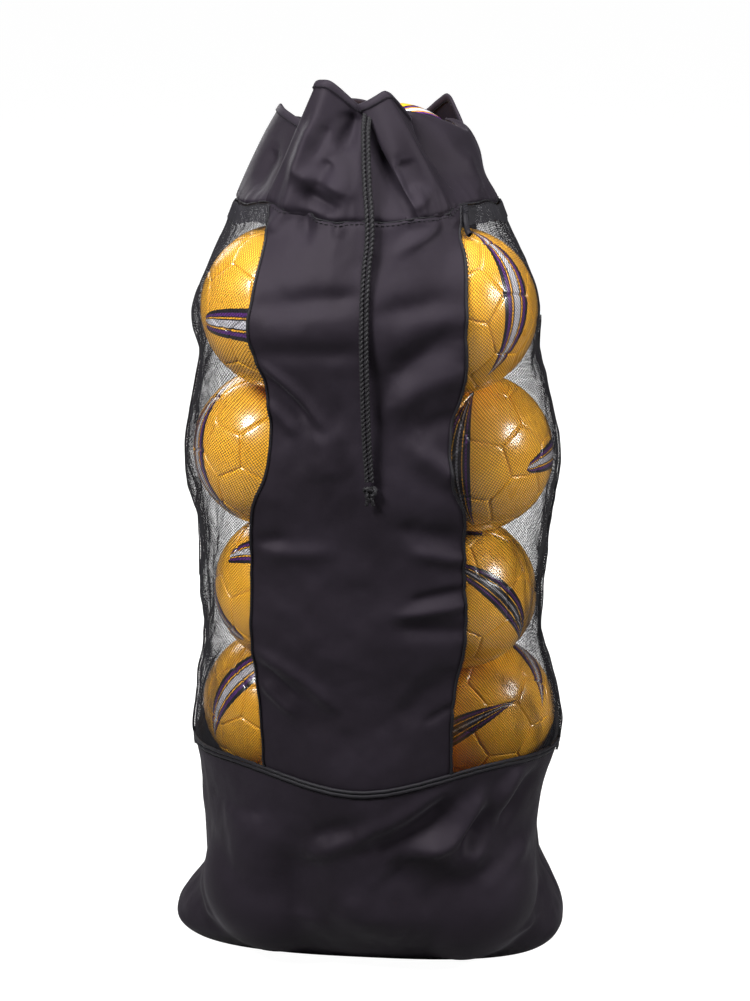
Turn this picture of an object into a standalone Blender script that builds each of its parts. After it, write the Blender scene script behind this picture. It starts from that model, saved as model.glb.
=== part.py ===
"""A tall drawstring mesh bag that stands full of footballs.

A cloth foot carries a front and a back panel and two net sides. Above them a gathered collar of six
pleats holds the drawcord, whose two tails hang down the front to a knot.
Units are metres and +Z is up. The front faces -Y, and the origin is the middle of the base on the
floor. An azimuth is measured from the front towards +X.
"""

import math

import bmesh
import bpy
from mathutils import Matrix, Vector

BALL_RADIUS = 0.1075  # a size 5 football
CLOTH = 0.002
NET = 0.0018
GAP = 0.0004  # between pieces that touch on the real bag

# Height, half width, half depth and squareness of the filled bag's outline.
STATIONS = (
    (0.000, 0.268, 0.108, 2.3),
    (0.020, 0.279, 0.158, 2.3),
    (0.050, 0.284, 0.196, 2.4),
    (0.100, 0.264, 0.215, 3.0),
    (0.200, 0.257, 0.224, 3.3),
    (0.320, 0.267, 0.230, 3.4),
    (0.470, 0.245, 0.230, 3.4),
    (0.620, 0.249, 0.230, 3.4),
    (0.740, 0.256, 0.230, 3.4),
    (0.860, 0.242, 0.230, 3.4),
    (0.950, 0.234, 0.225, 3.5),
    (1.000, 0.224, 0.219, 3.4),
    (1.040, 0.204, 0.202, 2.8),
    (1.080, 0.180, 0.180, 2.0),
)
FOOT_SEAM_Z = 0.306
COLLAR_SEAM_Z = 1.078
FOOT_TAPE_RADIUS = 0.0032
COLLAR_TAPE_RADIUS = 0.0024
EDGE_RADIUS = 0.0019
EDGE_MARGIN_DEG = 1.1  # from an edge seam's middle to the panel and to the net

PANEL_HALF_WIDTH = 0.134
PANEL_WAVE = 0.011  # the side balls push the panel's edges in and out
PANEL_WAVE_LENGTH = 0.46
PANEL_WAVE_TOP_Z = 0.97

BASE_INSET = 0.003  # from the foot's outer face, so that the base passes under the wall's edge

# x, y and z of the right-hand ball of each pair, from the foot upwards.
BALL_PAIRS = (
    (0.130, -0.085, 0.116),
    (0.151, 0.055, 0.3255),
    (0.120, -0.005, 0.530),
    (0.138, -0.036, 0.744),
    (0.112, -0.095, 0.952),
)
MIDDLE_BALLS = {
    "ball_back_low": (0.0, 0.090, 0.116),
    "ball_back_middle": (0.0, 0.115, 0.668),
    "ball_back_high": (0.0, 0.115, 0.886),
    "ball_front_low": (0.0, -0.110, 0.290),
    "ball_mouth": (0.020, 0.040, 1.094),
}

# Name, azimuth in degrees, peak height of the rim and radius of the rim at the peak.
PLEATS = (
    ("front_left", -30, 1.243, 0.122),
    ("front_right", 30, 1.230, 0.116),
    ("right", 90, 1.192, 0.138),
    ("back_right", 150, 1.206, 0.144),
    ("back_left", 210, 1.196, 0.142),
    ("left", 270, 1.202, 0.128),
)
# Height and radius of the rim's notch after each pleat, and so before the next one.
NOTCHES = (
    (1.212, 0.106),
    (1.184, 0.116),
    (1.178, 0.128),
    (1.176, 0.132),
    (1.172, 0.126),
    (1.184, 0.112),
)
PLEAT_GAP_DEG = 1.8
COLLAR_BOTTOM_Z = COLLAR_SEAM_Z + 0.0065
COLLAR_BOTTOM_RADIUS = 0.1785
HEM_HEIGHT = 0.011
HEM_WIDTH = 0.0086
HEM_WALL = 0.0010
DRAWCORD_RADIUS = 0.0018  # the same cord as the tails, squeezed flat by the hem's steep stretches
TAIL_RADIUS = 0.00325

HINGE_RADIUS = 0.181
HINGE_Z = COLLAR_SEAM_Z + 0.004

# The left tail's route, from where it leaves the pleats down to the knot.
TAIL_ROUTE = (
    (-0.0045, -0.1285, 1.186),
    (-0.0020, -0.1515, 1.150),
    (0.0010, -0.1690, 1.120),
    (0.0050, -0.1860, 1.090),
    (0.0065, -0.1985, 1.060),
    (0.0040, -0.2110, 1.030),
    (0.0025, -0.2230, 0.995),
    (0.0024, -0.2284, 0.972),
    (0.0025, -0.2330, 0.950),
    (0.0029, -0.2358, 0.925),
    (0.0035, -0.2375, 0.900),
    (0.0042, -0.2383, 0.875),
    (0.0050, -0.2385, 0.850),
    (0.0060, -0.2385, 0.825),
    (0.0072, -0.2385, 0.800),
    (0.0086, -0.2385, 0.780),
    (0.0100, -0.2385, 0.7605),
)
TAIL_SPACING = 0.0088
TAIL_SAMPLES = 2
KNOT_CENTRE = (0.0144, -0.2385, 0.746)
KNOT_SIZE = (0.0105, 0.0080, 0.0140)


def collection_named(name):
    collection = bpy.data.collections.new(name)
    bpy.context.scene.collection.children.link(collection)
    return collection


def material(name, colour, roughness, metallic=0.0):
    made = bpy.data.materials.new(name)
    made.use_nodes = True
    shader = made.node_tree.nodes["Principled BSDF"]
    shader.inputs["Base Color"].default_value = (*colour, 1.0)
    shader.inputs["Roughness"].default_value = roughness
    shader.inputs["Metallic"].default_value = metallic
    made.diffuse_color = (*colour, 1.0)
    return made


def add_object(name, data, finish, pivot=None):
    """Links an object built in world coordinates, hung from the empty that stands on its joint."""
    obj = bpy.data.objects.new(name, data)
    if not data.materials:
        data.materials.append(finish)
    BAG.objects.link(obj)
    if pivot:
        obj.parent = pivot
        obj.matrix_parent_inverse = Matrix.Translation(-pivot.location)
    return obj


def pivot_at(name, place, parent=None):
    empty = bpy.data.objects.new(name, None)
    empty.empty_display_size = 0.02
    BAG.objects.link(empty)
    empty.location = place
    if parent:
        empty.parent = parent
        empty.matrix_parent_inverse = Matrix.Translation(-parent.location)
    return empty


def smooth_value(z, column):
    """A column of STATIONS at height z, on a smooth curve through its values."""
    heights = [station[0] for station in STATIONS]
    values = [station[column] for station in STATIONS]
    last = len(heights) - 1
    z = min(max(z, heights[0]), heights[last])
    i = max(k for k in range(last) if heights[k] <= z)
    slopes = []
    for k in (i, i + 1):
        low, high = max(k - 1, 0), min(k + 1, last)
        slopes.append((values[high] - values[low]) / (heights[high] - heights[low]))
    span = heights[i + 1] - heights[i]
    t = (z - heights[i]) / span
    rise = values[i + 1] - values[i]
    start, end = slopes[0] * span, slopes[1] * span
    return values[i] + t * (start + t * (3 * rise - 2 * start - end + t * (start + end - 2 * rise)))


def wall_point(azimuth, z, outset=0.0):
    """The point on the bag's outer face at this azimuth and height."""
    half_width, half_depth, power = (smooth_value(z, column) for column in (1, 2, 3))
    across, along = math.sin(azimuth), -math.cos(azimuth)
    reach = (abs(across) / half_width) ** power + (abs(along) / half_depth) ** power
    radius = reach ** (-1 / power) + outset
    return Vector((radius * across, radius * along, z))


def panel_edge(z):
    """The azimuth at which the front panel ends, at this height."""
    wave = math.cos(math.tau * (z - PANEL_WAVE_TOP_Z) / PANEL_WAVE_LENGTH)
    half_width = PANEL_HALF_WIDTH + PANEL_WAVE * wave
    low, high = 0.0, math.pi / 2
    for _ in range(30):
        middle = (low + high) / 2
        low, high = (middle, high) if wall_point(middle, z).x < half_width else (low, middle)
    return low


def spread(start, end, count):
    return [start + (end - start) * i / count for i in range(count + 1)]


def sheet(name, rows, thickness, finish, pivot=None):
    """A sheet through rows of points, from its bottom edge up, thickened inwards."""
    form = bmesh.new()
    grid = [[form.verts.new(point) for point in row] for row in rows]
    for lower, upper in zip(grid, grid[1:]):
        for i in range(len(lower) - 1):
            form.faces.new((lower[i], lower[i + 1], upper[i + 1], upper[i]))
    mesh = bpy.data.meshes.new(name)
    form.to_mesh(mesh)
    form.free()
    mesh.shade_smooth()
    obj = add_object(name, mesh, finish, pivot)
    shell = obj.modifiers.new("thickness", "SOLIDIFY")
    shell.thickness = thickness
    shell.offset = -1
    return obj


def tube(name, points, radius, finish, pivot=None, closed=False, roundness=1):
    curve = bpy.data.curves.new(name, "CURVE")
    curve.dimensions = "3D"
    curve.bevel_depth = radius
    curve.bevel_resolution = roundness
    curve.use_fill_caps = True
    spline = curve.splines.new("POLY")
    spline.points.add(len(points) - 1)
    for knot, point in zip(spline.points, points):
        knot.co = (*point, 1.0)
    spline.use_cyclic_u = closed
    return add_object(name, curve, finish, pivot)


def make_base():
    """The flat oval that the bag stands on."""
    curve = bpy.data.curves.new("base_panel", "CURVE")
    curve.dimensions = "2D"
    curve.fill_mode = "BOTH"
    curve.extrude = CLOTH / 2
    spline = curve.splines.new("POLY")
    azimuths = spread(0, math.tau, 40)[:-1]
    spline.points.add(len(azimuths) - 1)
    for knot, azimuth in zip(spline.points, azimuths):
        x, y, _ = wall_point(azimuth, 0, -BASE_INSET)
        knot.co = (x, y, 0, 1)
    spline.use_cyclic_u = True
    add_object("base_panel", curve, CLOTH_BLACK).location.z = CLOTH / 2


def make_foot():
    """The solid-cloth foot, in a front and a back half that meet at the side seams."""
    bottom = CLOTH + GAP
    top = FOOT_SEAM_Z - FOOT_TAPE_RADIUS - GAP
    heights = [bottom, 0.014, 0.032, 0.055, 0.085, 0.13, 0.2, top]
    side_gap = 0.0015
    for name, start in (("foot_front", -math.pi / 2), ("foot_back", math.pi / 2)):
        azimuths = spread(start + side_gap, start + math.pi - side_gap, 18)
        rows = [[wall_point(azimuth, z) for azimuth in azimuths] for z in heights]
        sheet(name, rows, CLOTH, CLOTH_BLACK)


def make_panels_and_net():
    bottom = FOOT_SEAM_Z + FOOT_TAPE_RADIUS + GAP
    top = COLLAR_SEAM_Z - COLLAR_TAPE_RADIUS - GAP
    heights = spread(bottom, top, 16)
    margin = EDGE_MARGIN_DEG * math.pi / 180
    columns = {"front_panel": 8, "net_right": 9, "back_panel": 8, "net_left": 9}
    rows = {name: [] for name in columns}
    for z in heights:
        edge = panel_edge(z)
        ends = {
            "front_panel": (-edge, edge),
            "net_right": (edge, math.pi - edge),
            "back_panel": (math.pi - edge, math.pi + edge),
            "net_left": (math.pi + edge, math.tau - edge),
        }
        for name, (start, end) in ends.items():
            azimuths = spread(start + margin, end - margin, columns[name])
            rows[name].append([wall_point(azimuth, z) for azimuth in azimuths])
    for name, net in (("front_panel", 0), ("back_panel", 0), ("net_left", 1), ("net_right", 1)):
        sheet(name, rows[name], NET if net else CLOTH, NET_BLACK if net else CLOTH_BLACK)


def make_edge_seams():
    """The overlocked seams that join each net side to the panels."""
    bottom = FOOT_SEAM_Z + FOOT_TAPE_RADIUS + 2 * GAP
    top = COLLAR_SEAM_Z - COLLAR_TAPE_RADIUS - 2 * GAP
    heights = spread(bottom, top, 16)
    places = {
        "edge_seam_front_left": lambda edge: -edge,
        "edge_seam_front_right": lambda edge: edge,
        "edge_seam_back_right": lambda edge: math.pi - edge,
        "edge_seam_back_left": lambda edge: math.pi + edge,
    }
    for name, place in places.items():
        points = [wall_point(place(panel_edge(z)), z, -CLOTH / 2) for z in heights]
        tube(name, points, EDGE_RADIUS, BINDING)


def make_seam_tapes():
    for name, z, radius in (
        ("foot_seam_tape", FOOT_SEAM_Z, FOOT_TAPE_RADIUS),
        ("collar_seam_tape", COLLAR_SEAM_Z, COLLAR_TAPE_RADIUS),
    ):
        azimuths = spread(0, math.tau, 44)[:-1]
        points = [wall_point(azimuth, z, -CLOTH / 2) for azimuth in azimuths]
        tube(name, points, radius, BINDING, closed=True)


def make_balls():
    form = bmesh.new()
    bmesh.ops.create_uvsphere(form, u_segments=14, v_segments=8, radius=BALL_RADIUS)
    ball = bpy.data.meshes.new("ball")
    form.to_mesh(ball)
    form.free()
    ball.shade_smooth()
    places = dict(MIDDLE_BALLS)
    for row, (x, y, z) in enumerate(BALL_PAIRS):
        places[f"ball_left_{row}"] = (-x, y, z)
        places[f"ball_right_{row}"] = (x, y, z)
    for name, place in places.items():
        add_object(name, ball, BALL_GOLD).location = place


class Pleat:
    """One pleat of the collar: its span of azimuth, and its rim from notch to peak to notch."""

    def __init__(self, index):
        self.name, degrees, self.peak_z, self.peak_radius = PLEATS[index]
        self.azimuth = math.radians(degrees)
        self.half_span = math.radians(30 - PLEAT_GAP_DEG / 2)
        self.notches = NOTCHES[index - 1], NOTCHES[index]

    def point(self, across, up, outset=0.0, lift=0.0):
        """across runs from -1 to 1 between the notches, and up from 0 at the seam to 1 at the hem."""
        azimuth = self.azimuth + across * self.half_span
        notch_z, notch_radius = self.notches[across > 0]
        hem_z = self.peak_z - (self.peak_z - notch_z) * across**2 - HEM_HEIGHT
        rim_radius = self.peak_radius - (self.peak_radius - notch_radius) * across**2
        radius = COLLAR_BOTTOM_RADIUS + (rim_radius - COLLAR_BOTTOM_RADIUS) * up
        radius += 0.006 * math.sin(math.pi * up) + outset  # the cloth swells between seam and rim
        z = COLLAR_BOTTOM_Z + (hem_z - COLLAR_BOTTOM_Z) * up + lift
        return Vector((radius * math.sin(azimuth), -radius * math.cos(azimuth), z))

    def make_hinge(self):
        place = (HINGE_RADIUS * math.sin(self.azimuth), -HINGE_RADIUS * math.cos(self.azimuth))
        self.hinge = pivot_at(f"hinge_{self.name}", (*place, HINGE_Z))

    def make_cloth(self):
        rows = [[self.point(s, up) for s in spread(-1, 1, 8)] for up in spread(0, 1, 4)]
        sheet(f"collar_{self.name}", rows, CLOTH, CLOTH_BLACK, self.hinge)

    def make_hem(self):
        """A folded channel, open below, that the drawcord runs in."""
        out, wall, tall = HEM_WIDTH / 2, HEM_WALL, HEM_HEIGHT - GAP
        profile = (
            (out, 0.0),
            (out, tall),
            (-out, tall),
            (-out, 0.0),
            (wall - out, 0.0),
            (wall - out, tall - wall),
            (out - wall, tall - wall),
            (out - wall, 0.0),
        )
        form = bmesh.new()
        rings = []
        for s in spread(-1, 1, 8):
            ring = [self.point(s, 1, outset - CLOTH / 2, GAP + lift) for outset, lift in profile]
            rings.append([form.verts.new(point) for point in ring])
        count = len(profile)
        for ring, following in zip(rings, rings[1:]):
            for i in range(count):
                j = (i + 1) % count
                form.faces.new((ring[i], following[i], following[j], ring[j]))
        form.faces.new(rings[0])
        form.faces.new(reversed(rings[-1]))
        bmesh.ops.recalc_face_normals(form, faces=form.faces)
        mesh = bpy.data.meshes.new(f"rim_hem_{self.name}")
        form.to_mesh(mesh)
        form.free()
        add_object(f"rim_hem_{self.name}", mesh, HEM_BLACK, self.hinge)

    def make_drawcord(self):
        lift = GAP + HEM_HEIGHT / 2
        points = [self.point(s, 1, -CLOTH / 2, lift) for s in spread(-0.99, 0.99, 8)]
        tube(f"drawcord_{self.name}", points, DRAWCORD_RADIUS, CORD_BLACK, self.hinge)


def smooth_route(points, samples):
    """A Catmull-Rom curve through the points, with this many samples in each stretch."""
    route = [Vector(point) for point in points]
    padded = [2 * route[0] - route[1], *route, 2 * route[-1] - route[-2]]
    curve = []
    for a, b, c, d in zip(padded, padded[1:], padded[2:], padded[3:]):
        for i in range(samples):
            t = i / samples
            bend = (2 * a - 5 * b + 4 * c - d) * t**2 + (3 * b - 3 * c + d - a) * t**3
            curve.append(b + ((c - a) * t + bend) / 2)
    return [*curve, route[-1]]


def make_tails(carrier):
    """The drawcord's two free tails and the knot that ties them, hung from the front left pleat."""
    exit_point = Vector(TAIL_ROUTE[0])
    tails = pivot_at("tails_pivot", exit_point, carrier)
    for name, shift in (("cord_tail_left", 0.0), ("cord_tail_right", TAIL_SPACING)):
        route = [(x + shift, y, z) for x, y, z in TAIL_ROUTE]
        points = smooth_route(route, TAIL_SAMPLES)
        tube(name, points, TAIL_RADIUS, CORD_BLACK, tails, roundness=2)
    slide = pivot_at("knot_slide", KNOT_CENTRE, tails)
    form = bmesh.new()
    bmesh.ops.create_uvsphere(form, u_segments=12, v_segments=8, radius=1)
    bmesh.ops.scale(form, vec=KNOT_SIZE, verts=form.verts)
    bmesh.ops.translate(form, vec=KNOT_CENTRE, verts=form.verts)
    mesh = bpy.data.meshes.new("cord_knot")
    form.to_mesh(mesh)
    form.free()
    mesh.shade_smooth()
    add_object("cord_knot", mesh, CORD_BLACK, slide)


for leftover in list(bpy.data.objects):
    bpy.data.objects.remove(leftover, do_unlink=True)
BAG = collection_named("mesh_ball_bag")
CLOTH_BLACK = material("black_polyester", (0.022, 0.020, 0.024), 0.62)
NET_BLACK = material("black_net", (0.014, 0.014, 0.016), 0.70)
HEM_BLACK = material("hem_black", (0.034, 0.030, 0.036), 0.60)
BINDING = material("seam_binding", (0.008, 0.008, 0.010), 0.75)
CORD_BLACK = material("braided_cord", (0.020, 0.019, 0.022), 0.70)
BALL_GOLD = material("ball_gold", (0.86, 0.40, 0.022), 0.28, 0.15)

make_base()
make_foot()
make_panels_and_net()
make_edge_seams()
make_seam_tapes()
make_balls()
for pleat in [Pleat(index) for index in range(len(PLEATS))]:
    pleat.make_hinge()
    pleat.make_cloth()
    pleat.make_hem()
    pleat.make_drawcord()
    if pleat.name == "front_left":
        make_tails(pleat.hinge)
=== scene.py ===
"""The looks of the mesh ball bag: cloth, net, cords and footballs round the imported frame."""

import itertools
import math

import bmesh
import bpy
import numpy as np
from mathutils import Euler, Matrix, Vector


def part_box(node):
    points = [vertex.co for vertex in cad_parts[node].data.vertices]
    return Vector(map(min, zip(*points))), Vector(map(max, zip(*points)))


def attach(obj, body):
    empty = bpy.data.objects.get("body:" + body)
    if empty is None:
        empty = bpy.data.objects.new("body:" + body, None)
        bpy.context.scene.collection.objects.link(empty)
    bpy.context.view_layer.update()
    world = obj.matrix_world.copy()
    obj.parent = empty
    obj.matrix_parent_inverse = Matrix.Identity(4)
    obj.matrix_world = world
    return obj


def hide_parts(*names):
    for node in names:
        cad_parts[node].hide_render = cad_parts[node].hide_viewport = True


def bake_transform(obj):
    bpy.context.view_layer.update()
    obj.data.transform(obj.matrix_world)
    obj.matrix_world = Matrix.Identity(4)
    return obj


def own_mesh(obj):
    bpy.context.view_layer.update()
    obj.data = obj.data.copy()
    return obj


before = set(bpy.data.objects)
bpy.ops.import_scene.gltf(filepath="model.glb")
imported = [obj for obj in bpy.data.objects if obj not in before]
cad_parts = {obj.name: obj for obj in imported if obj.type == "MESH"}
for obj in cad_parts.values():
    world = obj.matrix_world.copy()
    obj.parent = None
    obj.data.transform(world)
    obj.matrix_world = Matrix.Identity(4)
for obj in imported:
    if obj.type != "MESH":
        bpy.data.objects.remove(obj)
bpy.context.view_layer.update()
TAU = math.tau
UP = np.array([0.0, 0.0, 1.0])

# ---- camera

CAMERA_AZIMUTH = math.radians(5)
CAMERA_DISTANCE = 2.6
CAMERA_HEIGHT = 1.5
CAMERA_PITCH = math.radians(18)
# Lens and sensor height in millimetres, and the picture's shift as a share of its height.
CAMERA_LENS = 70.4176
CAMERA_SENSOR = 36
CAMERA_SHIFT = 0.0025


def add_object(name, data):
    obj = bpy.data.objects.new(name, data)
    bpy.context.scene.collection.objects.link(obj)
    return obj


def make_camera():
    data = bpy.data.cameras.new("camera")
    data.lens = CAMERA_LENS
    data.sensor_fit = "VERTICAL"
    data.sensor_height = CAMERA_SENSOR
    data.shift_y = CAMERA_SHIFT
    camera = add_object("camera", data)
    across = CAMERA_DISTANCE * math.sin(CAMERA_AZIMUTH)
    away = CAMERA_DISTANCE * math.cos(CAMERA_AZIMUTH)
    camera.location = (across, -away, CAMERA_HEIGHT)
    camera.rotation_euler = Euler((math.radians(90) - CAMERA_PITCH, 0, CAMERA_AZIMUTH))
    bpy.context.scene.camera = camera


# ---- curves and meshes


def unit(v):
    return v / (np.linalg.norm(v, axis=-1, keepdims=True) + 1e-12)


def level_out(points):
    """Unit directions from the bag's upright axis out to these points."""
    return unit(points * [1, 1, 0])


def spline_weights(x):
    """The share of each of four neighbours at x, from 0 to 1 between the middle two."""
    return (
        (-(x**3) + 2 * x**2 - x) / 2,
        (3 * x**3 - 5 * x**2 + 2) / 2,
        (-3 * x**3 + 4 * x**2 + x) / 2,
        (x**3 - x**2) / 2,
    )


def catmull(points, steps):
    """Points between control points laid along the first axis, steps to each gap."""
    p = np.concatenate([2 * points[:1] - points[1:2], points, 2 * points[-1:] - points[-2:-1]])
    weights = spline_weights((np.arange(steps) / steps).reshape(-1, *([1] * (points.ndim - 1))))
    spans = zip(p[:-3], p[1:-2], p[2:-1], p[3:])
    parts = [sum(w * q for w, q in zip(weights, span)) for span in spans]
    return np.concatenate([*parts, points[-1:]])


def gaps(points, axis=0):
    """Distances between neighbouring points along an axis."""
    return np.linalg.norm(np.diff(points, axis=axis), axis=-1)


def walked(points):
    """How far along a line each of its points is."""
    return np.concatenate([[0], np.cumsum(gaps(points))])


def curve_length(points):
    return float(walked(points)[-1])


def points_at(line, distances):
    """Points at these distances along a line."""
    length = walked(line)
    return np.stack([np.interp(distances, length, axis) for axis in line.T], -1)


CURVE_STEPS = 24


def smooth_curve(points, count):
    """Evenly spaced points on a smooth curve through these points."""
    dense = catmull(np.asarray(points, float), CURVE_STEPS)
    return points_at(dense, np.linspace(0, curve_length(dense), count))


def sample_grid(grid, row, column):
    """Points of a grid at fractional rows and columns, on a smooth surface through it."""
    result = 0
    i = np.floor(row).astype(int)
    j = np.floor(column).astype(int)
    up, across = spline_weights(row - i), spline_weights(column - j)
    for a in range(4):
        rows = np.clip(i + a - 1, 0, grid.shape[0] - 1)
        for b in range(4):
            columns = (j + b - 1) % grid.shape[1]
            result = result + grid[rows, columns] * (up[a] * across[b])[..., None]
    return result


def new_object(name, vertices, faces, material, smooth=True):
    mesh = bpy.data.meshes.new(name)
    places = [tuple(map(float, v)) for v in vertices]
    mesh.from_pydata(places, [], [tuple(map(int, f)) for f in faces])
    mesh.update()
    if smooth:
        mesh.shade_smooth()
    mesh.materials.append(material)
    return add_object(name, mesh)


def grid_faces(rows, columns, closed=False, start=0):
    index = start + np.arange(rows * columns).reshape(rows, columns)
    right = np.roll(index, -1, axis=1) if closed else index[:, 1:]
    left = index if closed else index[:, :-1]
    return np.stack([left[:-1], right[:-1], right[1:], left[1:]], -1).reshape(-1, 4)


def add_cloth_uv(obj, grid):
    """A UV map in metres along the cloth, for the weave."""
    u = np.concatenate([np.zeros((len(grid), 1)), np.cumsum(gaps(grid, 1), axis=1)], axis=1)
    v = np.concatenate([np.zeros((1, grid.shape[1])), np.cumsum(gaps(grid), axis=0)])
    uv = np.stack([u - u.mean(axis=1, keepdims=True), v], -1).reshape(-1, 2)
    layer = obj.data.uv_layers.new(name="cloth")
    loops = np.empty(len(obj.data.loops), np.int32)
    obj.data.loops.foreach_get("vertex_index", loops)
    layer.data.foreach_set("uv", uv[loops].astype(np.float32).ravel())


def make_sheet(name, grid, material):
    """A sheet of cloth from the points of its outer face, given a thickness inwards."""
    obj = new_object(name, grid.reshape(-1, 3), grid_faces(*grid.shape[:2]), material)
    add_cloth_uv(obj, grid)
    finer = obj.modifiers.new("finer", "SUBSURF")
    finer.levels = finer.render_levels = 1
    finer.boundary_smooth = "PRESERVE_CORNERS"
    thicken(obj, CLOTH_THICKNESS, -1)
    return obj


def thicken(obj, thickness, offset):
    """Gives a surface its thickness, and bakes the object's modifiers into its mesh."""
    solid = obj.modifiers.new("thickness", "SOLIDIFY")
    solid.thickness = thickness
    solid.offset = offset
    graph = bpy.context.evaluated_depsgraph_get()
    graph.update()
    mesh = bpy.data.meshes.new_from_object(obj.evaluated_get(graph), depsgraph=graph)
    obj.modifiers.clear()
    old = obj.data
    obj.data = mesh
    bpy.data.meshes.remove(old)
    obj.data.name = obj.name


def clean_mesh(obj, weld=0.0, face_out=True):
    """Welds vertices closer together than weld and, with face_out, turns the faces outwards."""
    mesh = bmesh.new()
    mesh.from_mesh(obj.data)
    if weld:
        bmesh.ops.remove_doubles(mesh, verts=mesh.verts, dist=weld)
    if face_out:
        bmesh.ops.recalc_face_normals(mesh, faces=mesh.faces)
    mesh.to_mesh(obj.data)
    mesh.free()


def tube_shape(path, radius, sides, relief=None, start=0):
    """Vertices and faces of a closed tube along a path. relief(turn, along) scales its radius."""
    path = np.asarray(path, float)
    tangent = unit(np.gradient(path, axis=0))
    normal = np.cross(tangent[0], [0.3, 1.0, 0.2])
    normals = []
    for t in tangent:
        normal = normal - t * normal.dot(t)
        normal = normal / np.linalg.norm(normal)
        normals.append(normal)
    normals = np.array(normals)
    sideways = np.cross(tangent, normals)
    turn = np.arange(sides) / sides * TAU
    r = radius * np.ones((len(path), sides))
    if relief is not None:
        r = r * relief(turn[None, :], walked(path)[:, None])
    ring = path[:, None] + normals[:, None] * (r * np.cos(turn))[..., None]
    ring = ring + sideways[:, None] * (r * np.sin(turn))[..., None]
    vertices = np.concatenate([ring.reshape(-1, 3), path[:1], path[-1:]])
    faces = [list(f) for f in grid_faces(len(path), sides, True, start)]
    first = start + len(path) * sides
    end = first - sides
    for k in range(sides):
        following = (k + 1) % sides
        faces.append([first, start + following, start + k])
        faces.append([first + 1, end + k, end + following])
    return vertices, faces


class Pile:
    """Gathers many small shapes, such as stitches, into one object."""

    def __init__(self):
        self.vertices = []
        self.faces = []
        self.count = 0

    def add(self, vertices, faces):
        self.vertices.append(vertices)
        self.faces.extend(faces)
        self.count += len(vertices)

    def tube(self, path, radius, sides, relief=None):
        self.add(*tube_shape(path, radius, sides, relief, self.count))

    def make(self, name, material):
        return new_object(name, np.concatenate(self.vertices), self.faces, material)


# ---- sizes read from the frame


def middle(name):
    low, high = np.array(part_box(name))
    return (low + high) / 2


BALLS = {name: middle(name) for name in sorted(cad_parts) if name.startswith("ball_")}
BALL_RADIUS = float(np.ptp(np.array(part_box("ball_mouth")), axis=0)[2]) / 2
FOOT_SEAM_Z = float(middle("foot_seam_tape")[2])
COLLAR_SEAM_Z = float(middle("collar_seam_tape")[2])

# ---- the filled bag's outline

# In millimetres: height, half width at left and at right and half depth of the slack bag, and
# then how square it is.
OUTLINE = (
    (0, 284, 264, 112, 2.8), (12, 297, 276, 126, 2.6), (35, 288, 279, 156, 2.4),
    (70, 262, 267, 186, 2.3), (115, 246, 243, 208, 2.3), (150, 247, 238, 216, 2.2),
    (200, 251, 240, 224, 2.1), (260, 254, 250, 228, 1.9), (306, 262, 264, 229, 1.75),
    (400, 250, 258, 226, 2.1), (470, 238, 237, 224, 2.5), (540, 238, 232, 225, 2.8),
    (640, 241, 242, 226, 3), (740, 252, 250, 227, 3.1), (840, 241, 233, 225, 3.1),
    (890, 232, 220, 225, 3.1), (940, 236, 220, 226, 3.1), (1000, 219, 198, 214, 2.9),
    (1040, 202, 181, 196, 2.5), (1078, 187, 166, 177, 2), (1110, 178, 158, 168, 2),
)
# How far the cloth swells out in front of the balls and falls back between them.
ROW_SWELL = 0.007
ROW_REACH = 0.062
ROW_HEIGHTS = (0.1160, 0.3255, 0.5300, 0.7440, 0.9520)
# How far the foot's seam lies above its tape's middle, and the collar's below its own.
FOOT_SEAM_LIFT = 0.0175
COLLAR_SEAM_DROP = 0.001


def smooth_column(z, column):
    """A column of OUTLINE at the heights z, on a smooth curve through its values."""
    table = np.array(OUTLINE) / [1000, 1000, 1000, 1000, 1]
    heights, values = table[:, 0], table[:, column]
    slopes = np.gradient(values, heights)
    z = np.clip(z, heights[0], heights[-1])
    i = np.clip(np.searchsorted(heights, z) - 1, 0, len(heights) - 2)
    span = heights[i + 1] - heights[i]
    t = (z - heights[i]) / span
    a, b = values[i], values[i + 1]
    p, q = slopes[i] * span, slopes[i + 1] * span
    return a + t * (p + t * (3 * (b - a) - 2 * p - q + t * (p + q - 2 * (b - a))))


def outline_point(azimuth, z):
    """Points on the slack bag at these azimuths, from the front towards +X, and heights."""
    across, along = np.sin(azimuth), -np.cos(azimuth)
    blend = 0.5 + 0.5 * np.tanh(across / 0.25)
    half_width = smooth_column(z, 1) * (1 - blend) + smooth_column(z, 2) * blend
    half_depth, power = smooth_column(z, 3), smooth_column(z, 4)
    reach = (np.abs(across) / half_width) ** power + (np.abs(along) / half_depth) ** power
    radius = reach ** (-1 / power)
    return np.stack([radius * across, radius * along, z + 0 * radius], -1)


def foot_seam(azimuth):
    """Height of the foot's top seam, pushed up at the corners by the balls."""
    waves = 0.0058 * np.cos(2 * azimuth) - 0.0100 * np.cos(4 * azimuth)
    return FOOT_SEAM_Z + FOOT_SEAM_LIFT + waves + 0.005 * np.sin(azimuth)


def collar_seam(azimuth):
    """Height of the collar's seam, which hangs lowest under the drawcord."""
    away = np.abs((azimuth - 0.06 + math.pi) % TAU - math.pi)
    lift = 0.017 * (1 - np.exp(-((away / 0.55) ** 2)))
    lift = lift - 0.014 * (1 - np.exp(-((away / 1.3) ** 4)))
    wave = 0.0022 * np.sin(7 * azimuth + 0.6) + 0.0016 * np.sin(15 * azimuth + 2.0)
    return COLLAR_SEAM_Z - COLLAR_SEAM_DROP + lift + wave


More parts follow.
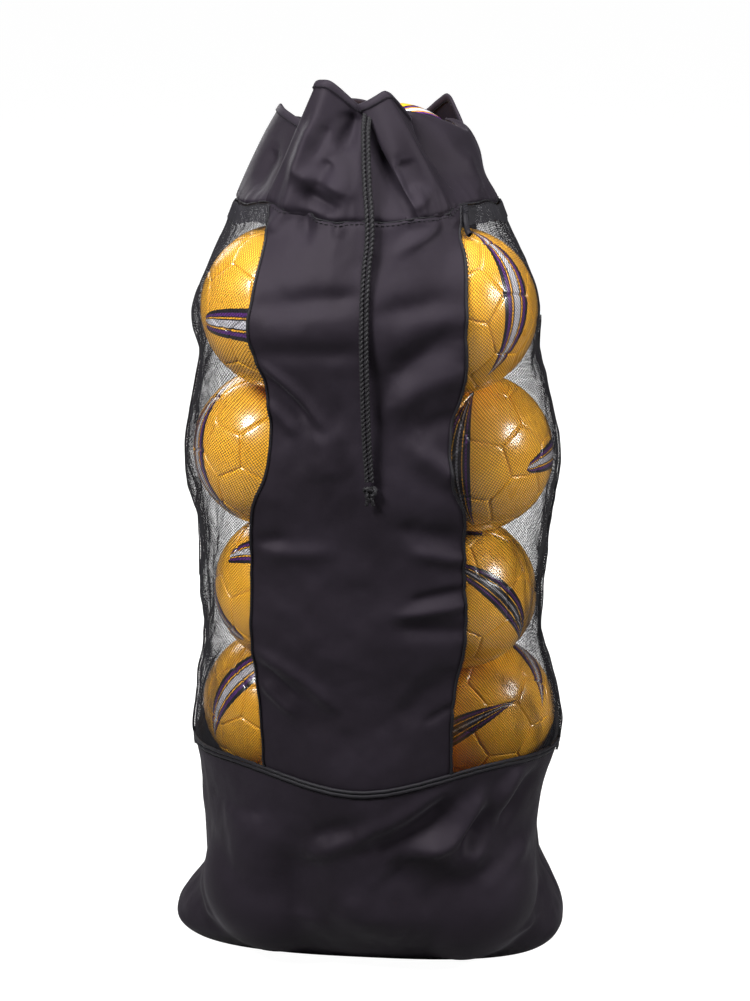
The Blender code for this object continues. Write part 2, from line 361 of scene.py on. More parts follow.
# In millimetres, height and half width at left and right of the panels, which the side balls
# push about.
PANEL_EDGES = (
    (336, 134, 118), (411, 139, 123), (515, 144, 135), (605, 146, 136), (690, 140, 134),
    (745, 121, 115), (805, 116, 117), (862, 122, 129), (925, 139, 132), (992, 137, 131),
    (1073, 130, 126),
)
HALVINGS = 30


def panel_edges(z):
    """The azimuths, both above 0, where the front panel ends at left and right, by halving."""
    fine = catmull(np.array(PANEL_EDGES) / 1000, 8)
    edges = []
    for column, side in ((1, -1.0), (2, 1.0)):
        wanted = np.interp(z, fine[:, 0], fine[:, column])
        low, high = np.zeros_like(z), np.full_like(z, math.pi / 2)
        for _ in range(HALVINGS):
            half = (low + high) / 2
            inside = np.abs(outline_point(side * half, z)[..., 0]) < wanted
            low, high = np.where(inside, half, low), np.where(inside, high, half)
        edges.append(low[:, None])
    return edges


# ---- folds in the cloth

FOLD_GAIN = 2.0
FOLD_POINTS = 24
# A fold fades over this share of its length at each end, and a short one is lower.
FOLD_FADE = 0.25
FOLD_FULL_LENGTH = 0.03
# In millimetres: the width and height of a ridge (or, below 0, a valley), and then x and z of
# each point along it.
FRONT_FOLDS = (
    (6, 4, -128, 907, -86, 874, -41, 823), (7, -3, -116, 884, -66, 831),
    (7, 3, -117, 853, -82, 817), (20, 4, -48, 823, -39, 755), (17, -6, 131, 948, 80, 924, 40, 893),
    (18, 5, 132, 902, 80, 878, 35, 849), (15, -4, 125, 843, 70, 821), (14, 5, 121, 759, 71, 800),
    (14, -4, 135, 679, 51, 693), (10, 4, 138, 647, 71, 661), (7, -4, 136, 607, 67, 594),
    (7, 4, 137, 586, 51, 575), (13, -5, 137, 550, 51, 556), (9, -3, -135, 668, -100, 674),
    (12, 3, -130, 652, -37, 658), (11, 4, -136, 510, -86, 483, -33, 439),
    (8, 4, -134, 464, -92, 425), (7, -3, -133, 490, -86, 447), (24, -5, 127, 497, 52, 419),
    (5, -3, 126, 440, 89, 417), (7, 5, -95, 1096, -120, 1063), (10, -5, -78, 1086, -74, 1057),
    (6, 4, -61, 1104, -56, 1077), (6, 3, -31, 1087, -29, 1062),
    (8, 4, 39, 1088, 88, 1074, 49, 1047), (7, 4, 93, 1096, 118, 1070), (14, -4, -129, 978, 0, 991),
    (14, -4, 30, 974, 131, 991), (12, -3, -123, 920, 0, 923),
    (15, 5, -90, 205, -20, 245, 40, 270, 110, 315), (14, -4, -66, 245, -5, 272),
    (20, -8, 10, 232, 73, 262, 125, 298), (12, 7, 70, 222, 130, 248, 158, 300),
    (13, -8, 135, 215, 178, 278), (13, 7, 165, 250, 216, 330), (10, -6, 190, 235, 235, 300),
    (40, 8, -165, 262, -153, 130), (34, -8, -95, 222, -100, 110), (15, -11, -225, 150, -206, 105),
    (12, 6, -250, 105, -215, 60), (18, 8, 150, 150, 226, 195), (9, -8, 175, 120, 236, 136),
    (8, 6, 180, 146, 246, 148), (8, -6, 185, 80, 245, 98), (9, 6, 160, 62, 240, 70),
    (34, -7, 40, 210, 118, 150), (26, 6, 85, 235, 170, 200), (30, 5, -30, 150, 60, 90),
)
# The same for the back, with the same x.
BACK_FOLDS = (
    (14, 5, -130, 930, -60, 890, 10, 860), (12, -4, -120, 890, -50, 850),
    (16, -5, 130, 840, 50, 800), (12, 4, 130, 800, 30, 750), (10, 4, -130, 660, -30, 640),
    (9, -4, -130, 630, -50, 600), (18, -5, 120, 560, 30, 500), (12, 4, 130, 460, 40, 420),
    (8, 4, -120, 420, -40, 460), (9, 5, 80, 220, 0, 270, -90, 300), (12, -7, 90, 260, 10, 290),
    (9, 4, -180, 290, -120, 230, -80, 150), (30, 6, 150, 250, 150, 130),
    (12, -5, -200, 180, -140, 120),
)


def fold_heights(points, folds):
    """How far each point stands out because of these folds, by its place in x and z."""
    place = points[..., [0, 2]]
    total = np.zeros(place.shape[:-1])
    for width, height, *route in folds:
        route = np.reshape(route, (-1, 2)) / 1000
        curved = len(route) > 2
        line = smooth_curve(route, FOLD_POINTS) if curved else np.linspace(*route, FOLD_POINTS)
        d = np.linalg.norm(place[..., None, :] - line, axis=-1)
        away = d.min(axis=-1)
        share = d.argmin(axis=-1) / (FOLD_POINTS - 1)
        fade = np.clip(np.minimum(share, 1 - share) / FOLD_FADE, 0.0, 1.0)
        fade = 0.35 + 0.65 * np.sin(fade * math.pi / 2)
        reach = width / 1000 * (0.7 + 0.3 * fade)
        height = FOLD_GAIN * height / 1000 * min(1, curve_length(line) / FOLD_FULL_LENGTH)
        total += height * fade * np.exp(-((away / reach) ** 2))
    return total


# ---- the tube of cloth, as a grid

FRONT_COLUMNS = 46
NET_COLUMNS = 80
FOOT_ROWS = 54
BODY_ROWS = 126
HALF = FRONT_COLUMNS + NET_COLUMNS
COLUMNS = 2 * HALF
SPANS = {
    "front_panel": (0, FRONT_COLUMNS),
    "net_right": (FRONT_COLUMNS, HALF),
    "back_panel": (HALF, HALF + FRONT_COLUMNS),
    "net_left": (HALF + FRONT_COLUMNS, COLUMNS),
}
CLOTH_CLEARANCE = 0.0030
SEAM_CALM = 0.020
PRESS_SOFTNESS = 0.004
# The foot's rows lie closer together towards the floor.
FOOT_ROW_EASE = 1.15
# Height of each layer of fine unevenness, its cells upwards and round the bag, and its seed.
UNEVENNESS = ((0.0022, 15, 22, 3), (0.0015, 36, 60, 5), (0.0006, 78, 120, 8))
LOWEST_CLOTH = 0.0014


def column_azimuths(z):
    """Azimuths of all columns at each height of z, so that the panels' edges fall on columns."""
    left, right = panel_edges(z)
    corners = np.concatenate([-left, right, math.pi - right, math.pi + left, TAU - left], axis=1)
    spans = []
    for k, (start, end) in enumerate(SPANS.values()):
        t = np.arange(end - start) / (end - start)
        low, high = corners[:, k : k + 1], corners[:, k + 1 : k + 2]
        spans.append(low + (high - low) * t)
    return np.concatenate(spans, axis=1)


def lattice_noise(rows, columns, cells_up, cells_across, seed):
    """Smooth noise from -1 to 1 that closes on itself sideways."""
    values = np.random.default_rng(seed).uniform(-1, 1, (cells_up + 2, cells_across))
    v = np.linspace(0, cells_up, rows, endpoint=False)
    u = np.linspace(0, cells_across, columns, endpoint=False)
    i, j = v.astype(int), u.astype(int)
    s, t = v - i, u - j
    s, t = (s * s * (3 - 2 * s))[:, None], (t * t * (3 - 2 * t))[None]
    near, far = values[:, j], values[:, (j + 1) % cells_across]
    across = near * (1 - t) + far * t
    return across[i] * (1 - s) + across[i + 1] * s


def press_out(points, outwards, clearance):
    """Moves points outwards, softly, until the balls are all inside."""
    steps = [np.zeros(points.shape[:-1])]
    for centre in BALLS.values():
        rel = centre - points
        along = (rel * outwards).sum(-1)
        off = (rel**2).sum(-1) - along**2
        room = (BALL_RADIUS + clearance) ** 2 - off
        steps.append(np.where(room > 0, along + np.sqrt(np.maximum(room, 0)), -1.0))
    steps = np.stack(steps)
    top = steps.max(axis=0)
    soft = top + PRESS_SOFTNESS * np.log(np.exp((steps - top) / PRESS_SOFTNESS).sum(axis=0))
    return points + outwards * soft[..., None]


def make_wall():
    """The bag's wall over the footballs, as [row, column, xyz], base to collar seam."""
    foot_share = (np.arange(FOOT_ROWS) / FOOT_ROWS) ** FOOT_ROW_EASE
    body_share = np.linspace(0, 1, BODY_ROWS + 1)
    body_z = FOOT_SEAM_Z + (COLLAR_SEAM_Z - FOOT_SEAM_Z) * body_share
    azimuth = column_azimuths(np.concatenate([foot_share * FOOT_SEAM_Z, body_z]))
    low, high = foot_seam(azimuth), collar_seam(azimuth)
    foot_z = low[:FOOT_ROWS] * foot_share[:, None]
    z = np.concatenate([foot_z, low[FOOT_ROWS:] + (high - low)[FOOT_ROWS:] * body_share[:, None]])
    points = outline_point(azimuth, z)
    outwards = level_out(points)
    row = sum(np.exp(-(((z - height) / ROW_REACH) ** 2)) for height in ROW_HEIGHTS)
    level = np.clip(z / 0.1, 0, 1) * np.clip((1.075 - z) / 0.05, 0, 1)
    is_front = np.clip(2 * np.cos(azimuth), 0, 1)
    is_back = np.clip(-2 * np.cos(azimuth), 0, 1)
    relief = ROW_SWELL * (row - 0.75) * level * np.maximum(is_front, is_back)
    relief += fold_heights(points, FRONT_FOLDS) * is_front
    relief += fold_heights(points, BACK_FOLDS) * is_back
    for height, *layer in UNEVENNESS:
        relief += height * lattice_noise(len(points), COLUMNS, *layer)
    by_seam = (z - low[FOOT_ROWS]) / SEAM_CALM
    quiet = np.clip(z / 0.03, 0, 1) * (1 - 0.85 * np.exp(-(by_seam**2)))
    points = press_out(points + outwards * (relief * quiet)[..., None], outwards, CLOTH_CLEARANCE)
    points[..., 2] = np.maximum(points[..., 2], LOWEST_CLOTH)
    return points


def wall_part(start, end, first_row, last_row):
    """The wall's points between these columns and rows, the last ones included."""
    return wall[first_row : last_row + 1][:, np.arange(start, end + 1) % COLUMNS]


# ---- materials


class Nodes:
    """A short way to write a material's nodes."""

    def __init__(self, name):
        self.material = bpy.data.materials.new(name)
        self.material.use_nodes = True
        self.tree = self.material.node_tree
        self.shader = self.tree.nodes["Principled BSDF"]

    def add(self, kind, inputs=None, **settings):
        node = self.tree.nodes.new(kind)
        for key, value in settings.items():
            setattr(node, key, value)
        self.fill(node, inputs or {})
        return node

    def fill(self, node, inputs):
        for key, value in inputs.items():
            if isinstance(value, bpy.types.NodeSocket):
                self.tree.links.new(value, node.inputs[key])
            else:
                node.inputs[key].default_value = value

    def shade(self, **values):
        self.fill(self.shader, {key.replace("_", " "): value for key, value in values.items()})

    def place(self):
        return self.add("ShaderNodeTexCoord").outputs["Object"]

    def math(self, operation, *values):
        return self.add("ShaderNodeMath", dict(enumerate(values)), operation=operation).outputs[0]

    def noise(self, place, scale, detail=2.0, roughness=0.5):
        inputs = {"Vector": place, "Scale": scale, "Detail": detail, "Roughness": roughness}
        return self.add("ShaderNodeTexNoise", inputs).outputs["Fac"]

    def mix(self, factor, first, second):
        inputs = {"Factor": factor, 6: first, 7: second}
        return self.add("ShaderNodeMix", inputs, data_type="RGBA").outputs[2]

    def remap(self, value, low, high, new_low, new_high):
        inputs = {0: value, 1: low, 2: high, 3: new_low, 4: new_high}
        return self.add("ShaderNodeMapRange", inputs).outputs[0]

    def bump(self, height, strength, distance, normal=None):
        inputs = {"Height": height, "Strength": strength, "Distance": distance}
        if normal is not None:
            inputs["Normal"] = normal
        return self.add("ShaderNodeBump", inputs).outputs[0]


YARN_PITCH = 0.0007
THREAD_PITCH = 0.0009
# A wave texture of this scale times the pitch has one band to each pitch.
WAVE_SCALE = 0.314


def cloth_material(name, dark, light, sheen):
    """Plain-woven polyester: fine yarns, uneven dye and a soft sheen."""
    n = Nodes(name)
    uv = n.add("ShaderNodeUVMap", uv_map="cloth").outputs[0]
    split = n.add("ShaderNodeSeparateXYZ", {0: uv}).outputs
    yarns = [n.math("SINE", n.math("MULTIPLY", split[k], TAU / YARN_PITCH)) for k in (0, 1)]
    weave = n.math("MULTIPLY", *yarns)
    streaks = n.add("ShaderNodeMapping", {"Vector": uv, "Scale": (900, 60, 1)}).outputs[0]
    slub = n.noise(streaks, 1.0, 2.0)
    patches = n.noise(n.place(), 9.0, 3.0, 0.6)
    share = n.remap(patches, 0.3, 0.7, 0.0, 0.75)
    share = n.math("ADD", share, n.math("MULTIPLY", slub, 0.25))
    n.shade(
        Base_Color=n.mix(share, (*dark, 1), (*light, 1)),
        Roughness=n.remap(patches, 0.3, 0.7, 0.52, 0.64),
        Sheen_Weight=sheen,
        Sheen_Roughness=0.35,
        Sheen_Tint=(0.80, 0.76, 0.86, 1),
        Specular_IOR_Level=0.09,
        Specular_Tint=(1.0, 0.88, 1.0, 1),
    )
    fine = n.bump(weave, 0.22, 0.00012)
    n.shade(Normal=n.bump(n.noise(n.place(), 70.0, 3.0), 0.26, 0.0015, fine))
    return n.material


def thread_material(name, colour, roughness=0.55):
    """Twisted or braided yarn, read along the piece by its place."""
    n = Nodes(name)
    inputs = {"Vector": n.place(), "Scale": WAVE_SCALE / THREAD_PITCH, "Distortion": 2.0, "Detail": 2.0}
    twist = n.add("ShaderNodeTexWave", inputs, bands_direction="DIAGONAL").outputs["Fac"]
    cloudy = n.noise(n.place(), 60.0)
    pale = tuple(c * 1.8 + 0.002 for c in colour)
    n.shade(
        Base_Color=n.mix(n.math("MULTIPLY", cloudy, twist), (*colour, 1), (*pale, 1)),
        Roughness=roughness,
        Sheen_Weight=0.03,
        Sheen_Roughness=0.4,
        Specular_IOR_Level=0.14,
        Normal=n.bump(twist, 0.4, 0.0003),
    )
    return n.material


def net_material():
    n = Nodes("net_yarn")
    dye = n.noise(n.place(), 40.0)
    n.shade(
        Base_Color=n.mix(dye, (0.004, 0.004, 0.005, 1), (0.009, 0.008, 0.011, 1)),
        Roughness=0.6,
        Specular_IOR_Level=0.12,
        Normal=n.bump(n.noise(n.place(), 900.0), 0.3, 0.0004),
    )
    return n.material


COVER_PLACE = "cover_place"
# Colours with their cover.
BLACK = (0.006, 0.006, 0.009, 1.0)
ORANGE = (0.84, 0.40, 0.020, 1.0)
BARE = (0.0, 0.0, 0.0, 0.0)
# The bands of a streak, from the middle out: where each starts and its colour.
STREAK_BANDS = (
    (0.00, (0.50, 0.49, 0.53, 1.0)), (0.24, BLACK), (0.33, ORANGE), (0.43, BLACK),
    (0.50, (0.085, 0.018, 0.15, 1.0)), (0.72, BLACK), (0.98, BARE),
)
DARK_BANDS = (
    (0.00, (0.30, 0.29, 0.32, 1.0)), (0.08, BLACK), (0.34, ORANGE), (0.42, BLACK),
    (0.58, (0.085, 0.018, 0.13, 1.0)), (0.74, BLACK), (0.98, BARE),
)
STREAK_CURVE = 0.12
# A streak stops just short of its tips, where its bands would run together.
STREAK_END = 0.997
# Centre, long way, half length, half height, bluntness and bands of each streak on a ball.
STREAKS = (
    ((1, 0, 0), (0, 1, 0), 0.88, 0.21, 1.0, STREAK_BANDS),
    ((-0.80, 0.60, 0), (0.3, 0.1, 0.95), 0.82, 0.21, 0.28, STREAK_BANDS),
    ((-0.40, -0.50, 0.82), (0.8, -0.6, 0.0), 0.86, 0.17, 1.0, DARK_BANDS),
    ((-0.33, -0.47, -0.82), (0.5, 0.7, -0.5), 0.80, 0.20, 0.4, STREAK_BANDS),
)


def streak_axes(centre, way):
    """Three unit axes: to a streak's centre, along it and across it."""
    centre = unit(np.array(centre, float))
    way = unit(np.array(way, float) - centre * centre.dot(way))
    return centre, way, np.cross(centre, way)


def ball_material():
    """Glossy gold leather-look panels with plain nested streaks, no lettering."""
    n = Nodes("ball_cover")
    local = n.add("ShaderNodeAttribute", attribute_name=COVER_PLACE).outputs["Vector"]
    ray = n.add("ShaderNodeVectorMath", {0: local}, operation="NORMALIZE").outputs[0]

    def along(direction):
        inputs = {0: ray, 1: tuple(direction)}
        return n.add("ShaderNodeVectorMath", inputs, operation="DOT_PRODUCT").outputs["Value"]

    tone = n.noise(local, 30.0, 3.0)
    colour = n.mix(tone, (0.80, 0.365, 0.016, 1), (0.92, 0.465, 0.034, 1))
    for centre, way, half_length, half_height, bluntness, shades in STREAKS:
        a, b, c = streak_axes(centre, way)
        u = n.math("DIVIDE", along(b), half_length)
        u_squared = n.math("MULTIPLY", u, u)
        taper = n.math("MAXIMUM", n.math("SUBTRACT", 1.0, u_squared), 0.001)
        taper = n.math("POWER", taper, bluntness)
        curve = n.math("MULTIPLY", u_squared, STREAK_CURVE)
        v = n.math("ABSOLUTE", n.math("ADD", along(c), curve))
        from_middle = n.math("DIVIDE", v, n.math("MULTIPLY", taper, half_height))
        ramp = n.add("ShaderNodeValToRGB", {0: from_middle})
        ramp.color_ramp.interpolation = "CONSTANT"
        bands = ramp.color_ramp.elements
        while len(bands) < len(shades):
            bands.new(0.5)
        for band, (start, value) in zip(bands, shades):
            band.position = start
            band.color = value
        front = n.math("GREATER_THAN", along(a), 0.0)
        within = n.math("MULTIPLY", n.math("LESS_THAN", u_squared, STREAK_END), front)
        cover = n.math("MULTIPLY", ramp.outputs["Alpha"], within)
        colour = n.mix(cover, colour, ramp.outputs["Color"])
    grain = n.noise(local, 260.0, 4.0, 0.6)
    n.shade(
        Base_Color=colour,
        Roughness=n.remap(tone, 0.3, 0.7, 0.27, 0.36),
        Coat_Weight=0.6,
        Coat_Roughness=0.16,
        Specular_IOR_Level=0.5,
        Normal=n.bump(grain, 0.10, 0.0006),
    )
    return n.material


CLOTH = cloth_material("cloth", (0.0064, 0.0050, 0.0070), (0.0112, 0.0089, 0.0128), 0.04)
# The hem is the panels' own cloth in lighter colours: a painted sheen on the fold.
HEM = cloth_material("hem_cloth", (0.0095, 0.0076, 0.0106), (0.0142, 0.0116, 0.0160), 0.06)
BINDING = thread_material("seam_binding", (0.0045, 0.0040, 0.0055))
STITCH = thread_material("stitching", (0.0030, 0.0027, 0.0038), 0.65)
CORD = thread_material("cord_yarn", (0.0050, 0.0046, 0.0055), 0.5)
NET = net_material()
BALL = ball_material()

# ---- the wall's panels and net

CLOTH_THICKNESS = 0.0009
SEAM_TURN = 0.0026
PUCKER_HEIGHT = 0.0008
COLLAR_PUCKER_REACH = 0.022
FOOT_PUCKER_REACH = 0.014
LAST_ROW = FOOT_ROWS + BODY_ROWS

wall = make_wall()
outward = level_out(wall)
azimuths = np.unwrap(np.arctan2(wall[..., 0], -wall[..., 1]), axis=1)


def pucker(azimuth, distance, reach):
    """Short gathers that fade away from a seam."""
    shape = np.sin(azimuth * 61) + 0.7 * np.sin(azimuth * 97 + 1.0)
    shape = shape + 0.6 * np.sin(azimuth * 37 + 2.2)
    return PUCKER_HEIGHT * shape * np.exp(-distance / reach)


def tuck_seams():
    """Turns the wall inwards along the foot's and the collar's seams, with gathers beside."""
    below_collar = wall[-1, :, 2] - wall[..., 2]
    from_foot = np.abs(wall[..., 2] - wall[FOOT_ROWS, :, 2])
    move = pucker(azimuths, np.maximum(below_collar, 0), COLLAR_PUCKER_REACH)
    move -= SEAM_TURN * np.exp(-((below_collar / 0.004) ** 2))
    move += 0.35 * pucker(azimuths + 0.5, from_foot, FOOT_PUCKER_REACH)
    move -= 0.6 * SEAM_TURN * np.exp(-((from_foot / 0.005) ** 2))
    return wall + outward * move[..., None]


wall = tuck_seams()


def along_wall(row, column, out=0.0):
    """Points on the wall, lifted off it by a distance."""
    row, column = np.broadcast_arrays(np.asarray(row, float), np.asarray(column, float))
    normal = unit(sample_grid(outward, row, column))
    return sample_grid(wall, row, column) + normal * out


def finish_piece(obj, body, slot, *nodes):
    """Says which body a piece rides on and the CAD nodes it replaces; slot is not used."""
    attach(obj, body)
    if nodes:
        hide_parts(*nodes)
    return obj


def sheet_size(grid):
    """Mean width and length along the cloth."""
    across = gaps(grid, 1).sum(axis=1).mean()
    up = gaps(grid).sum(axis=0).mean()
    return round(float(across), 3), round(float(up), 3)


def make_panels():
    """The plain cloth of the wall: two panels above the foot's seam and two below."""
    foot_start = -NET_COLUMNS // 2
    below = (0, FOOT_ROWS, "base_panel_cloth")
    above = (FOOT_ROWS, LAST_ROW, "collar_seam_binding")
    panels = {
        "front_panel": (*SPANS["front_panel"], *above),
        "back_panel": (*SPANS["back_panel"], *above),
        "foot_front": (foot_start, foot_start + HALF, *below),
        "foot_back": (foot_start + HALF, foot_start + 2 * HALF, *below),
    }
    for name, (start, end, first_row, last_row, support) in panels.items():
        grid = wall_part(start, end, first_row, last_row)
        obj = make_sheet(f"{name}_cloth", grid, CLOTH)
        finish_piece(obj, "bag", "cloth", name)


BASE_THICKNESS = 0.0012
BASE_HEIGHT = 0.0016
BASE_RISE = 0.0015
BASE_SHARES = (1.0, 0.97, 0.9, 0.75, 0.55, 0.35, 0.15)


def make_base():
    """The oval base: rings that shrink from the wall's lowest row to one middle point."""
    ring = wall[0]
    centre = ring.mean(axis=0)
    shares = np.array(BASE_SHARES)[:, None, None]
    grid = centre + (ring - centre) * shares
    grid[..., 2] = BASE_HEIGHT + BASE_RISE * (1 - shares[..., 0]) ** 2
    centre[2] = BASE_HEIGHT + BASE_RISE
    vertices = np.concatenate([grid.reshape(-1, 3), centre[None]])
    faces = [list(f)[::-1] for f in grid_faces(len(grid), COLUMNS, True)]
    last = (len(grid) - 1) * COLUMNS
    faces += [[last + (k + 1) % COLUMNS, last + k, len(vertices) - 1] for k in range(COLUMNS)]
    obj = new_object("base_panel_cloth", vertices, faces, CLOTH)
    layer = obj.data.uv_layers.new(name="cloth")
    for loop in obj.data.loops:
        layer.data[loop.index].uv = obj.data.vertices[loop.vertex_index].co[:2]
    thicken(obj, BASE_THICKNESS, 0)
    finish_piece(obj, "bag", "cloth", "base_panel")


NET_PITCH_ACROSS = 0.0041
NET_PITCH_UP = 0.0047
NET_HOLE = 0.80
FOLD_HOLE = 0.60
BAND_HOLE = 0.24
YARN_DEPTH = 0.0004
# Rolled folds of slack net: width in columns and how far it stands out in millimetres, then
# points along it: height in millimetres and per cent of the way round the net, front to back.
NET_FOLDS = {
    "net_right": (
        (4.0, 4, 290, 47, 400, 44, 510, 40, 640, 45, 760, 42, 930, 47),
        (2.4, 3, 300, 38, 420, 41, 540, 36, 610, 40, 700, 38),
        (2.8, 3, 650, 46, 600, 36, 550, 29),
    ),
    "net_left": (
        (4.0, 4, 290, 46, 420, 43, 540, 40, 660, 45, 780, 41, 940, 46),
        (2.4, 3, 700, 38, 800, 40, 870, 35, 930, 38),
        (2.8, 3, 680, 44, 620, 35, 570, 28),
    ),
}
TOP_BAND_ROWS = 4.2
TOP_BAND_LIFT = 0.0015
BAND_CELLS = (150, 7)
ROLL_RADIUS = 0.0042
ROLL_PITCH = 0.006
NET_WELD = 0.00002
# In columns, how far each half of a net goes past the line where they meet.
NET_OVERLAP = 0.32


def net_patch(rows, sides, cells, lift=0.0, hole=NET_HOLE):
    """Diamond holes, each a ring of four yarns. sides(row) gives the columns they lie between."""
    across, up = 1 / cells[0], 1 / cells[1]
    middles = []
    for offset in (0.0, 0.5):
        i, j = np.meshgrid(np.arange(cells[1] - 1), np.arange(cells[0] - 1), indexing="ij")
        place = [(i + 0.5 + offset) * up, (j + 0.5 + offset) * across]
        middles.append(np.stack(place, -1).reshape(-1, 2))
    middles = np.concatenate(middles)
    ways = np.array([[-up, 0], [0, across], [up, 0], [0, -across]]) / 2
    rings = []
    for share, depth in ((1.0, 0.0), (hole, YARN_DEPTH)):
        place = middles[:, None] + ways * share
        row = rows[0] + (rows[1] - rows[0]) * place[..., 0]
        low, high = sides(row)
        column = low + (high - low) * place[..., 1]
        out = lift * np.sin(math.pi * place[..., 1]) - depth
        rings.append(along_wall(row, column, out[..., None]).reshape(-1, 3))
    total = len(rings[0])
    faces = []
    for k in range(4):
        a = np.arange(0, total, 4) + k
        b = np.arange(0, total, 4) + (k + 1) % 4
        faces.append(np.stack([a, b, b + total, a + total], -1))
    return np.concatenate(rings), np.concatenate(faces)


def net_fold(name, width, lift, *route):
    """A rolled fold of net that lies along the side of the bag."""
    start, end = SPANS[name]
    route = smooth_curve(np.reshape(route, (-1, 2)) / [1000, 100], 40)
    if name == "net_left":
        route[:, 1] = 1 - route[:, 1]
    share = (route[:, 0] - FOOT_SEAM_Z) / (COLLAR_SEAM_Z - FOOT_SEAM_Z)
    rows = FOOT_ROWS + share * BODY_ROWS
    order = np.argsort(rows)
    columns = start + route[:, 1] * (end - start)

    def sides(row):
        centre = np.interp(row, rows[order], columns[order])
        share = np.clip((row - rows.min()) / (rows.max() - rows.min()), 0, 1)
        half = width * (0.08 + 0.42 * np.sin(math.pi * share) ** 0.5)
        half = half * (0.8 + 0.2 * np.sin(row * 0.31))
        return centre - half, centre + half

    length = abs(float(route[-1, 0] - route[0, 0]))
    cells = (max(6, round(width * 2.4)), round(length / NET_PITCH_UP * 1.2))
    return net_patch((rows.min(), rows.max()), sides, cells, lift / 1000, FOLD_HOLE)


def net_object(name, patches):
    """One object of these patches of net, its yarns welded where they meet."""
    pile = Pile()
    for vertices, faces in patches:
        pile.add(vertices, (faces + pile.count).tolist())
    obj = pile.make(name, NET)
    obj.data.shade_flat()
    clean_mesh(obj, NET_WELD, face_out=False)
    return obj


def straight_sides(low, high):
    """The sides of a patch of net that lies between two columns all the way up."""
    return lambda row: (np.full_like(row, low), np.full_like(row, high))


def make_net(name):
    """A net in two pieces, front and back, side by side, with its gathers as a third."""
    start, end = SPANS[name]
    meeting = (start + end) // 2
    order = ("front", "back") if name == "net_right" else ("back", "front")
    for half, first, last in zip(order, (start, meeting), (meeting, end)):
        size = sheet_size(wall_part(first, last, FOOT_ROWS, LAST_ROW))
        cells = (round(size[0] / NET_PITCH_ACROSS), round(size[1] / NET_PITCH_UP))
        low = first - NET_OVERLAP * (first > start)
        high = last + NET_OVERLAP * (last < end)
        patch = net_patch((FOOT_ROWS, LAST_ROW), straight_sides(low, high), cells)
        obj = net_object(f"{name}_{half}_mesh", [patch])
        finish_piece(obj, "bag", "net", name)
    make_gathers(name)


def make_gathers(name):
    """The doubled band sewn in under the collar, and the folds where the net hangs slack."""
    start, end = SPANS[name]
    rows = (LAST_ROW - TOP_BAND_ROWS, LAST_ROW)
    sides = straight_sides(start, end)
    patches = [net_patch(rows, sides, BAND_CELLS, TOP_BAND_LIFT, BAND_HOLE)]
    patches += [net_fold(name, *fold) for fold in NET_FOLDS[name]]
    if name == "net_right":
        rows = np.linspace(LAST_ROW + 0.2, LAST_ROW - 5.5, 30)
        path = along_wall(rows, np.linspace(start + 1.0, start + 4.0, 30), 0.0025)
        vertices, faces = tube_shape(path, ROLL_RADIUS, 8, net_roll)
        patches.append((vertices[:-2], np.array([face for face in faces if len(face) == 4])))
    finish_piece(net_object(f"{name}_gathers", patches), "bag", "net")


def net_roll(turn, along):
    """Relief of net gathered into a roll."""
    return 0.80 + 0.22 * np.abs(np.cos(turn * 2 + along / ROLL_PITCH * TAU))


# ---- seams


EDGE_RADIUS = 0.0019
# The overlock thread crosses the edge once in each step of rows, this many columns aside.
LACE_STEP = 0.34
LACE_SWING = 0.42
LACE_RADIUS = 0.00055


def make_edge_seam(name, column):
    """An overlocked panel edge: a rolled edge with its thread laced over it."""
    pile = Pile()
    rows = np.linspace(FOOT_ROWS + 0.2, LAST_ROW - 0.3, 260)
    pile.tube(along_wall(rows, column, 0.0006), EDGE_RADIUS, 8)
    steps = np.arange(FOOT_ROWS + 0.5, LAST_ROW - 0.5, LACE_STEP)
    swing = LACE_SWING * np.where(np.arange(len(steps)) % 2 == 0, 1.0, -1.0)
    pile.tube(along_wall(steps, column + swing, 0.0021), LACE_RADIUS, 5)
    obj = pile.make(f"{name}_overlock", BINDING)
    finish_piece(obj, "bag", "seam_binding", name)


# Rows above the foot's seam, and radius, of its two lines of piping.
FOOT_PIPING = ((-0.42, 0.0027), (0.44, 0.0024))
PIPING_OUT = 0.0019
GATHER_RADIUS = 0.0013
# All the way round, from the middle of the back.
ROUND = np.linspace(-0.2, COLUMNS + 0.2, 500) + HALF + FRONT_COLUMNS / 2


def add_stitches(pile, row, out, step, length, radius):
    """A row of stitches round the bag: their step and length are in columns."""
    for start in np.arange(0, COLUMNS, step):
        way = np.linspace(start, start + length, 3)
        pile.tube(along_wall(row, way, out), radius, 4)


def make_foot_seam():
    """The doubled piping and its stitches along the top of the foot."""
    pile = Pile()
    for side, radius in FOOT_PIPING:
        pile.tube(along_wall(FOOT_ROWS + side, ROUND, PIPING_OUT), radius, 8)
    add_stitches(pile, FOOT_ROWS - 1.15, 0.0006, 0.72, 0.45, 0.0005)
    obj = pile.make("foot_seam_binding", BINDING)
    finish_piece(obj, "bag", "seam_binding", "foot_seam_tape")


def make_collar_seam():
    """The stitches that gather the body into the collar."""
    pile = Pile()
    pile.tube(along_wall(LAST_ROW, ROUND, -CLOTH_THICKNESS), GATHER_RADIUS, 6)
    add_stitches(pile, LAST_ROW - 0.55, 0.0008, 1.05, 0.62, 0.0006)
    obj = pile.make("collar_seam_binding", STITCH)
    finish_piece(obj, "bag", "seam_binding", "collar_seam_tape")


# ---- the gathered collar

